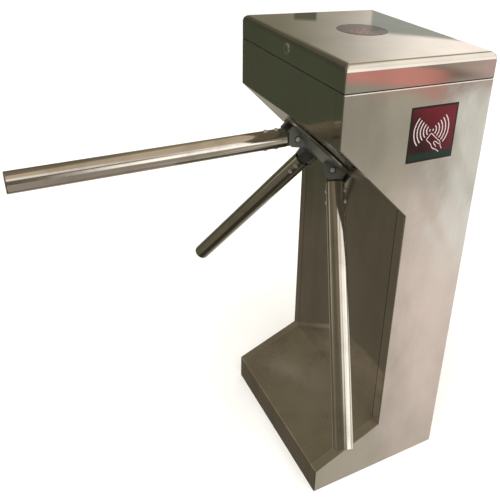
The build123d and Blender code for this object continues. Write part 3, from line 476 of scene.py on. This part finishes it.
def stroke(bm, points, width, thickness, to_world):
    """A flat printed line with round ends through points (x, z), raised by thickness."""
    half = width / 2
    path = [Vector(p) for p in points]
    ends = 6
    start, finish = (path[0] - path[1]).normalized(), (path[-1] - path[-2]).normalized()
    rounded = []
    for k in range(ends, 0, -1):
        angle = pi / 2 * k / ends
        rounded.append((path[0] + start * half * sin(angle), half * cos(angle)))
    rounded += [(p, half) for p in path]
    for k in range(1, ends + 1):
        angle = pi / 2 * k / ends
        rounded.append((path[-1] + finish * half * sin(angle), half * cos(angle)))
    rows = []
    for k, (centre, reach) in enumerate(rounded):
        before = rounded[max(k - 1, 0)][0]
        after = rounded[min(k + 1, len(rounded) - 1)][0]
        tangent = (after - before).normalized()
        side = Vector((-tangent.y, tangent.x)) * max(reach, half * 0.05)
        rows.append([
            bm.verts.new(to_world(centre + side * sign, depth))
            for sign, depth in ((1, 0.0), (-1, 0.0), (-1, thickness), (1, thickness))
        ])
    for row, following in zip(rows, rows[1:]):
        for k in range(4):
            bm.faces.new((row[k], row[(k + 1) % 4], following[(k + 1) % 4], following[k]))
    bm.faces.new(rows[0])
    bm.faces.new(reversed(rows[-1]))


def pictogram():
    """A generic sign, printed in white: radio waves on both sides of a card held in a hand."""
    bm = bmesh.new()
    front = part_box("reader_window")[0].y
    wave_centre = Vector((-3.2, 6.2))
    card_corner = Vector((-2.5, 0.5))
    card_tilt = radians(-41)

    def on_window(point, depth):
        return (READER_CENTRE.x + point.x * MM, front - depth * MM, READER_CENTRE.z + point.y * MM)

    def in_hand(x, y):
        turned = Vector((x * cos(card_tilt) - y * sin(card_tilt), x * sin(card_tilt) + y * cos(card_tilt)))
        return card_corner + turned

    thickness = 0.12
    for ring in range(6):
        radius = 4.0 + 7.2 * ring
        reach = 40.0 if ring else 20.0
        for middle in (0.0, 180.0):
            steps = 6 + 3 * ring
            angles = [radians(middle - reach + 2 * reach * k / steps) for k in range(steps + 1)]
            arc = [wave_centre + Vector((cos(a), sin(a))) * radius for a in angles]
            stroke(bm, arc, 2.2, thickness, on_window)
    card = [(20, 0), (2.2, 0), (0.6, -0.6), (0, -2.2), (0, -13.5), (0.6, -15.1), (2.2, -15.7), (17.5, -15.7)]
    thumb = [(32, -4.6), (25, -5.0), (20.5, -6.0), (18.9, -7.6), (19.0, -9.4), (20.6, -10.7), (26, -10.9),
             (30, -12.4)]
    knuckles = [(22.5, -0.4), (27, 0.8), (31, 0.2), (34, -2.4), (39, -5.2), (44, -7.0)]
    palm = [(19.5, -17.6), (24, -18.6), (29, -18.2), (33, -16.4), (38, -15.6), (43, -15.4)]
    for line in (card, thumb, knuckles, palm):
        stroke(bm, [in_hand(*point) for point in line], 1.6, thickness, on_window)
    mesh = finish_mesh("reader_pictogram", bm)
    piece("reader_pictogram", mesh, paint("white ink", (0.56, 0.50, 0.51)), "frame")


pictogram()


def ring_profile(bm, outline, centre, axis, segments):
    """Revolve an open outline of (radius, height) points about an axis, closing it on the axis."""
    upright = Vector((0, 0, 1)).rotation_difference(axis).to_matrix()
    rows = []
    for radius, height in outline:
        if radius == 0:
            rows.append([bm.verts.new(centre + upright @ Vector((0, 0, height)))])
            continue
        rows.append([
            bm.verts.new(centre + upright @ Vector((radius * cos(a), radius * sin(a), height)))
            for a in (2 * pi * k / segments for k in range(segments))
        ])
    for low, high in zip(rows, rows[1:]):
        for k in range(segments):
            following = (k + 1) % segments
            corners = [
                low[k % len(low)], low[following % len(low)],
                high[following % len(high)], high[k % len(high)],
            ]
            bm.faces.new(list(dict.fromkeys(corners)))


def button_screw(bm, seat, axis):
    """A button-head screw with a hexagonal socket, on a seat that faces along axis."""
    head, height, socket, shank, length, sunk = 4.75 * MM, 2.75 * MM, 1.5 * MM, 2.5 * MM, 12 * MM, 0.6 * MM
    outline = [(0, 1.1 * MM), (socket, 1.1 * MM), (socket, height)]
    for k in range(7):
        angle = radians(75 - 12.5 * k)
        outline.append((socket + (head - socket) * cos(angle), height * sin(angle) ** 0.8))
    outline += [(head, -sunk), (shank, -sunk), (shank, -length), (0, -length)]
    ring_profile(bm, outline, seat, axis, 24)


SCREW_STEEL = screw_steel("screw steel")
SCREW_STEPS = (38 * MM, 61 * MM)     # from an arm's pin to its screws, along the arm
TUBE_RADIUS = 19 * MM
for arm in ARMS:
    pin, along, drop = arm_axes(arm)
    bm = bmesh.new()
    for step in SCREW_STEPS:
        for sign in (-1, 1):
            button_screw(bm, pin + along * step + drop * (sign * TUBE_RADIUS), drop * sign)
    mesh = finish_mesh(f"arm_{arm}_screw_heads", bm, smooth=True)
    mesh.set_sharp_from_angle(angle=radians(35))
    piece(f"arm_{arm}_screw_heads", mesh, SCREW_STEEL, f"arm_{arm}",
          [f"arm_{arm}_screws"])


def drop_pins():
    """The three pins that the arms drop on: a turned head at both ends, on a darker washer."""
    head = [(0, 21.8), (1.3, 21.8), (1.8, 22.4), (4.2, 22.4), (5.0, 21.9), (5.2, 21.0), (5.2, 20.0)]
    washer = [(4.0, 20.0), (4.0, 21.0), (7.0, 21.0), (7.5, 20.5), (7.5, 20.0), (4.0, 20.0)]
    pins, washers = bmesh.new(), bmesh.new()
    for arm in ARMS:
        joint = JOINTS[f"arm_{arm}_drop"]
        centre, axis = Vector(joint["pos_m"]), Vector(joint["axis"])
        outline = head + [(radius, -height) for radius, height in reversed(head)]
        ring_profile(pins, [(r * MM, h * MM) for r, h in outline], centre, axis, 32)
        for way in (axis, -axis):
            ring_profile(washers, [(r * MM, h * MM) for r, h in washer], centre, way, 32)
    for name, bm, look in (("drop_pins", pins, SCREW_STEEL), ("drop_pin_washers", washers, ROOT_CASTING)):
        mesh = finish_mesh(name, bm, smooth=True)
        mesh.set_sharp_from_angle(angle=radians(35))
        piece(name, mesh, look, "rotor", ["arm_pins"])


drop_pins()


def dome(radius, height):
    """Outline of a small round-topped lamp on a board."""
    round_top = [(radius * sin(a), height - radius * (1 - cos(a))) for a in (pi / 10 * k for k in range(6))]
    return round_top + [(radius, 0.8 * MM), (radius + 0.4 * MM, 0.8 * MM), (radius + 0.4 * MM, 0), (0, 0)]


def indicator():
    """Under the round window: a dark board, a lit cross of lamps and two rings of unlit ones with a faint painted
    glow.
    """
    low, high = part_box("indicator_board")
    centre = (low + high) / 2
    board_top, board_radius, board_thickness = low.z + 1.6 * MM, 48 * MM, 1.6 * MM
    post, step, up = high.z - board_top, 7.5 * MM, Vector((0, 0, 1))
    ground = Vector((centre.x, centre.y, board_top))
    bm = bmesh.new()
    disc = [(0, 0), (board_radius, 0), (board_radius, -board_thickness), (0, -board_thickness)]
    ring_profile(bm, disc, ground, up, 72)
    for angle in (0, 120, 240):
        foot = ground + direction(90 - angle, 0) * 43 * MM
        ring_profile(bm, [(0, post), (3 * MM, post), (3 * MM, 0), (0, 0)], foot, up, 20)
    board = finish_mesh("indicator_panel", bm)
    look = plastic("black solder mask", (0.014, 0.010, 0.009), 0.5)
    piece("indicator_panel", board, look, "lid", ["indicator_board"])

    bm = bmesh.new()
    for k in range(-2, 3):
        for side in ((1, -1) if k else (1,)):
            place = ground + Vector((k * step, side * k * step, 0))
            ring_profile(bm, dome(2.5 * MM, 5.5 * MM), place, up, 20)
    lamps = finish_mesh("indicator_lamps", bm, smooth=True)
    look = lamp("lit red", (0.95, 0.16, 0.17), 2.2)
    piece("indicator_lamps", lamps, look, "lid", ["indicator_board"])

    bm = bmesh.new()
    for radius, count in ((31 * MM, 20), (38.5 * MM, 26)):
        for k in range(count):
            place = ground + direction(360 * k / count, 0) * radius
            ring_profile(bm, dome(1.5 * MM, 4.6 * MM), place, up, 14)
    unlit = finish_mesh("indicator_unlit_lamps", bm, smooth=True)
    # Painted glow: the unlit lamps still give off a faint red light.
    look = lamp("unlit red with painted glow", (0.42, 0.22, 0.20), 0.12)
    piece("indicator_unlit_lamps", unlit, look, "lid", ["indicator_board"])


indicator()


def wire(bm, path, radius, sides=10):
    """A round wire along a path of points."""
    rows, across = [], None
    for k, point in enumerate(path):
        tangent = (path[min(k + 1, len(path) - 1)] - path[max(k - 1, 0)]).normalized()
        across = tangent.orthogonal() if across is None else across
        across = (across - tangent * across.dot(tangent)).normalized()
        other = tangent.cross(across)
        rows.append([
            bm.verts.new(point + (across * cos(a) + other * sin(a)) * radius)
            for a in (2 * pi * n / sides for n in range(sides))
        ])
    for low, high in zip(rows, rows[1:]):
        for n in range(sides):
            bm.faces.new((low[n], low[(n + 1) % sides], high[(n + 1) % sides], high[n]))
    bm.faces.new(rows[0])
    bm.faces.new(reversed(rows[-1]))


def return_springs():
    """Torsion springs round the pawls' posts and the detent lever's post, each with a straight leg."""
    wire_radius, coil_radius, pitch, per_turn = 0.95 * MM, 6.8 * MM, 2.15 * MM, 28
    bm = bmesh.new()
    for joint, shallow, deep, leg in (
        ("pawl_front_swing", 46, 61, 30),
        ("pawl_rear_swing", 46, 61, 30),
        ("detent_swing", 68, 84, 10),
    ):
        offset = Vector(JOINTS[joint]["pos_m"]) - HUB
        u, v = offset.dot(UPSLOPE), -offset.y
        side = 1 if v > 0 else -1
        first, last = shallow * MM + wire_radius, deep * MM - wire_radius
        turns = (last - first) / pitch
        steps = int(turns * per_turn)
        path = []
        for k in range(steps + 1):
            angle = side * (pi / 2 - 2 * pi * turns * (1 - k / steps))
            depth = first + (last - first) * k / steps
            path.append(in_mechanism(u + coil_radius * cos(angle), v + coil_radius * sin(angle), depth))
        path.append(in_mechanism(u - leg * MM, v + side * coil_radius, last))
        wire(bm, path, wire_radius)
    mesh = finish_mesh("spring_wire", bm, smooth=True)
    mesh.set_sharp_from_angle(angle=radians(40))
    piece("spring_wire", mesh, machined("spring steel", (0.46, 0.46, 0.47), 0.25), "frame",
          ["return_springs"])


return_springs()


def solenoid_windings():
    """Enamelled copper wire on the two push solenoids."""
    start, end, turns, steps = 116 * MM, 162 * MM, 34, 4
    core, wire_height = 17.35 * MM, 0.30 * MM
    outline = [(core - wire_height, start)]
    for k in range(turns * steps + 1):
        ripple = abs(sin(pi * k / steps))
        outline.append((core + wire_height * ripple, start + (end - start) * k / (turns * steps)))
    outline.append((core - wire_height, end))
    bm = bmesh.new()
    for side, plunger in ((-1, "plunger_front"), (1, "plunger_rear")):
        low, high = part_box(plunger)
        place = Vector(((low.x + high.x) / 2, 0, (low.z + high.z) / 2))
        ring_profile(bm, outline, place, Vector((0, side, 0)), 48)
    mesh = finish_mesh("solenoid_windings", bm, smooth=True)
    look = machined("enamelled copper", (0.62, 0.26, 0.12), 0.30)
    piece("solenoid_windings", mesh, look, "frame")


solenoid_windings()


def block(bm, centre, size, bevel=0.5 * MM):
    """A box with softened edges."""
    made = bmesh.ops.create_cube(bm, size=1.0)
    for vertex in made["verts"]:
        vertex.co = Vector(centre) + Vector([vertex.co[i] * size[i] for i in range(3)])
    edges = list(dict.fromkeys(edge for vertex in made["verts"] for edge in vertex.link_edges))
    bmesh.ops.bevel(bm, geom=edges, offset=bevel, segments=2, affect="EDGES", profile=0.5)


def control_board():
    """The controller on the inside of the back panel: board, relays, capacitors, chip and terminals."""
    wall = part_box("control_board")[1].x
    face = wall - 9.6 * MM                  # the components stand on this face and point to -X
    toward = Vector((-1, 0, 0))
    replaced = ["control_board"]

    def on_board(bm, y, z, size, bevel, lift=0.0):
        """A box on the board: size is its height off the board, its width and its length, in mm."""
        centre = (face - lift * MM - size[0] * MM / 2, y * MM, z * MM)
        block(bm, centre, [side * MM for side in size], bevel * MM)

    def turned(bm, y, z, outline, sides, ground=face):
        profile = [(radius * MM, height * MM) for radius, height in outline]
        ring_profile(bm, profile, Vector((ground, y * MM, z * MM)), toward, sides)

    bm = bmesh.new()
    block(bm, (wall - 8.8 * MM, 0, 640 * MM), (1.6 * MM, 180 * MM, 140 * MM), 0.2 * MM)
    post = [(0, 10.2), (2.6, 10.2), (3.0, 9.8), (3.0, 0), (0, 0)]
    for y in (-82, 82):
        for z in (578, 702):
            turned(bm, y, z, post, 20, wall)
    mesh = finish_mesh("controller_sheet", bm)
    piece("controller_sheet", mesh, BY_SLOT["circuit_green"], "frame", replaced)

    bm = bmesh.new()
    for y in (-67.5, -52.5):                # two relays
        on_board(bm, y, 660, (12, 13.5, 36), 0.8)
    on_board(bm, 50, 650, (2.2, 22, 22), 0.4, 0.4)
    for k in range(5):                      # small chips along the top
        on_board(bm, -10 + 20 * k, 695, (1.9, 9, 6), 0.3, 0.15)
    mesh = finish_mesh("controller_chips", bm)
    piece("controller_chips", mesh, BY_SLOT["black_plastic"], "frame", replaced)

    bm = bmesh.new()
    can = [(0, 14.6), (2.5, 14.6), (2.8, 15.0), (7.2, 15.0), (8.2, 14.3), (8.4, 13.4), (8.4, 4.4), (7.9, 3.7),
           (8.4, 3.0), (8.4, 0.3), (0, 0.3)]
    for y in (-20, 4):
        turned(bm, y, 672, can, 32)
    for k in range(12):                     # pins on the four sides of the large chip
        step = (k - 5.5) * 1.6
        for side in (-11.8, 11.8):
            on_board(bm, 50 + step, 650 + side, (0.5, 0.7, 2), 0.1, 0.25)
            on_board(bm, 50 + side, 650 + step, (0.5, 2, 0.7), 0.1, 0.25)
    mesh = finish_mesh("controller_metalwork", bm, smooth=True)
    mesh.set_sharp_from_angle(angle=radians(35))
    look = BY_SLOT["machined_aluminium"]
    piece("controller_metalwork", mesh, look, "frame", replaced)

    bm = bmesh.new()
    count, pitch = 14, 10
    slot = [(0, 9.2), (0.6, 9.2), (0.6, 9.6), (2.2, 9.6), (2.6, 9.2), (2.6, 8.0), (0, 8.0)]
    for k in range(count):                  # screw terminals along the bottom edge
        y = (k - (count - 1) / 2) * pitch
        on_board(bm, y, 584, (8.4, 9.4, 12), 0.5)
        turned(bm, y, 586, slot, 16)
    mesh = finish_mesh("controller_terminals", bm)
    look = plastic("terminal green", (0.02, 0.16, 0.06), 0.4)
    piece("controller_terminals", mesh, look, "frame", replaced)


control_board()


# ------------------------------------------------------------------------------------ lights and surroundings
def surroundings():
    """The room that the steel mirrors, as soft coloured patches by direction, over one dim tone.

    Their places and colours are given, and what the comments call them is imagined. It isn't an even
    studio: only the camera's own rays see a plain pale backdrop instead.
    """
    world = bpy.data.worlds.new("surroundings")
    world.use_nodes = True
    bpy.context.scene.world = world
    shader = Shader(world.node_tree)
    ray = shader.node("ShaderNodeTexCoord").outputs["Generated"]
    split = shader.node("ShaderNodeSeparateXYZ")
    shader.feed(split.inputs[0], ray)
    height = shader.maths("ARCSINE", split.outputs["Z"])

    def patch(azimuth, half_width, low, high, soft):
        """1 inside a patch of the surroundings, given in degrees, and 0 outside it."""
        side_soft, low_soft, high_soft = soft
        forward = shader.dot(ray, direction(azimuth, 0))
        right = shader.dot(ray, direction(azimuth + 90, 0))
        turn = shader.maths("ABSOLUTE", shader.maths("ARCTAN2", right, forward))
        inner, outer = radians(half_width - side_soft), radians(half_width + side_soft)
        wide = shader.remap(turn, inner, outer, 1.0, 0.0)
        above = shader.remap(height, radians(low - low_soft), radians(low + low_soft))
        below = shader.remap(height, radians(high - high_soft), radians(high + high_soft), 1.0, 0.0)
        return shader.maths("MULTIPLY", wide, shader.maths("MULTIPLY", above, below))

    tone = colour(0.130, 0.110, 0.078)
    patches = (
        # azimuth, half width, low, high, softness of sides, bottom and top, colour
        (0, 200, 38, 100, (4, 6, 4), (0.205, 0.172, 0.112)),              # ceiling
        (110, 85, 40, 104, (14, 6, 4), (0.56, 0.45, 0.33)),               # its warm part
        (319, 8, 25, 40, (2, 2, 2), (0.95, 0.74, 0.46)),                  # a warm lamp over the passage
        (45, 52, -72, -9, (8, 6, 2), (0.38, 0.35, 0.285)),                # floor behind the turnstile
        (140, 60, -100, -16, (10, 2, 1), (0.53, 0.49, 0.40)),             # floor in front of it
        (107, 34, -47, -25, (4, 9, 3), (0.90, 0.77, 0.70)),               # the lit part of that floor
        (140, 80, -104, -60, (10, 4, 4), (0.26, 0.22, 0.18)),             # the floor near the foot
        (169, 14, -104, -12, (4, 4, 3), (0.34, 0.29, 0.245)),             # a dark mat
        (150, 7, -25, -15, (2, 4, 0.6), (0.42, 0.39, 0.32)),              # a dark box standing on the floor
        (107, 30, -31, -15, (2.5, 4, 0.5), (0.98, 0.97, 0.90)),           # daylight on its far side
        (143, 5, -16.2, -14.2, (1.5, 0.5, 0.3), (0.74, 0.33, 0.28)),      # a strip of red cloth
        (42, 32, -8, 34, (8, 5, 8), (0.24, 0.225, 0.155)),                # wall behind the turnstile
        (58, 24, -4, 34, (9, 5, 8), (1.20, 1.10, 1.00)),                  # its lit part
        (28.6, 1.0, -6, 11.1, (0.15, 1, 0.15), (0.13, 0.13, 0.09)),       # a chair against it
        (38.8, 4.3, -6, 11.7, (0.15, 1, 0.15), (0.40, 0.41, 0.365)),      # a grey doorway in it
        (300, 18, -12, 25, (6, 6, 6), (0.20, 0.165, 0.115)),              # the wall of the passage
        (308, 7, -9, 8, (2, 2, 2), (0.50, 0.42, 0.32)),                   # a pale door in that wall
        (330, 13, -25, 22, (5, 6, 5), (0.072, 0.080, 0.049)),             # its dim end
        (262, 46, -104, -50, (8, 5, 6), (0.040, 0.038, 0.026)),           # dark floor beyond the arms
        (138, 34, -7, 22, (5, 1.5, 6), (1.50, 1.42, 1.30)),               # bright screen in front
        (137, 25, 16, 42, (7, 4, 5), (1.28, 1.21, 1.12)),                 # its upper part
        (106, 28, 34, 57, (6, 5, 4), (1.35, 1.26, 1.12)),                 # a pale ceiling panel beside it
        (180, 13, 33, 55, (6, 5, 5), (0.96, 0.90, 0.82)),                 # another on the left
        (148, 38, -14.2, -8.5, (3, 0.4, 1.5), (0.46, 0.375, 0.31)),       # the dark rail under the screen
        (122, 14, -15, -8.5, (3, 0.5, 1.5), (0.68, 0.50, 0.46)),          # a pinker length of it
    )
    for azimuth, half_width, low, high, soft, tint in patches:
        tone = shader.mix(patch(azimuth, half_width, low, high, soft), tone, colour(*tint))
    uneven = shader.noise(ray, 5.0, 4.0)
    tone = shader.mix(1.0, tone, shader.remap(uneven, 0.3, 0.7, 0.90, 1.1), "MULTIPLY")
    seen = shader.node("ShaderNodeLightPath").outputs["Is Camera Ray"]
    lit = shader.node("ShaderNodeBackground")
    shader.feed(lit.inputs["Color"], shader.mix(seen, tone, colour(0.93, 0.93, 0.92)))
    output = shader.node("ShaderNodeOutputWorld")
    shader.feed(output.inputs["Surface"], lit.outputs[0])


def sky_light(strength):
    """Very soft light from above, which leaves only a faint shadow on the floor. Metal doesn't mirror it."""
    data = bpy.data.lights.new("sky", "SUN")
    data.energy = strength
    data.angle = radians(75)
    light = bpy.data.objects.new("sky", data)
    bpy.context.scene.collection.objects.link(light)
    light.rotation_euler = (radians(18), radians(-12), 0)
    light.visible_glossy = False


def area_light(name, place, aim, size, power, tint):
    """A round soft light that points at aim. Metal doesn't mirror it."""
    data = bpy.data.lights.new(name, "AREA")
    data.shape = "DISK"
    data.size = size
    data.energy = power
    data.color = tint
    light = bpy.data.objects.new(name, data)
    bpy.context.scene.collection.objects.link(light)
    light.location = place
    light.rotation_euler = (Vector(aim) - Vector(place)).to_track_quat("-Z", "Y").to_euler()
    light.visible_glossy = False
    light.visible_transmission = False


def floor():
    """A plain pale floor. The steel mirrors the patches of the surroundings in its place."""
    bm = bmesh.new()
    bmesh.ops.create_circle(bm, cap_ends=True, radius=40.0, segments=96)
    mesh = finish_mesh("floor", bm)
    made = bpy.data.objects.new("floor", mesh)
    made.location = (0, 0, -0.0004)
    bpy.context.scene.collection.objects.link(made)
    look, _, surface = material("pale floor", 0.0, 0.9)
    surface.inputs["Base Color"].default_value = colour(0.86, 0.86, 0.85)
    mesh.materials.append(look)
    made.visible_glossy = False


def camera():
    """The view of a person who stands in front of the passage, a little to its left."""
    place = Vector((-0.7008, -1.0484, 1.2419))
    azimuth, down, roll = radians(31.859), radians(25.448), radians(4.059)
    forward = Vector((sin(azimuth) * cos(down), cos(azimuth) * cos(down), -sin(down)))
    right = Vector((cos(azimuth), -sin(azimuth), 0))
    up = right.cross(forward)
    tilted_right = right * cos(roll) + up * sin(roll)
    tilted_up = up * cos(roll) - right * sin(roll)
    data = bpy.data.cameras.new("camera")
    data.sensor_width = 36.0
    data.lens = 45.684
    data.shift_x, data.shift_y = -0.1602, -0.131
    data.clip_end = 200
    made = bpy.data.objects.new("camera", data)
    turn = Matrix((tilted_right, tilted_up, -forward)).transposed().to_4x4()
    made.matrix_world = Matrix.Translation(place) @ turn
    bpy.context.scene.collection.objects.link(made)
    bpy.context.scene.camera = made


surroundings()
floor()
sky_light(2.9)
area_light("overhead", (-1.2, -1.4, 3.2), (0, 0, 0.4), 2.6, 60, (1.0, 0.98, 0.95))
camera()
bpy.context.scene.view_settings.view_transform = "Standard"
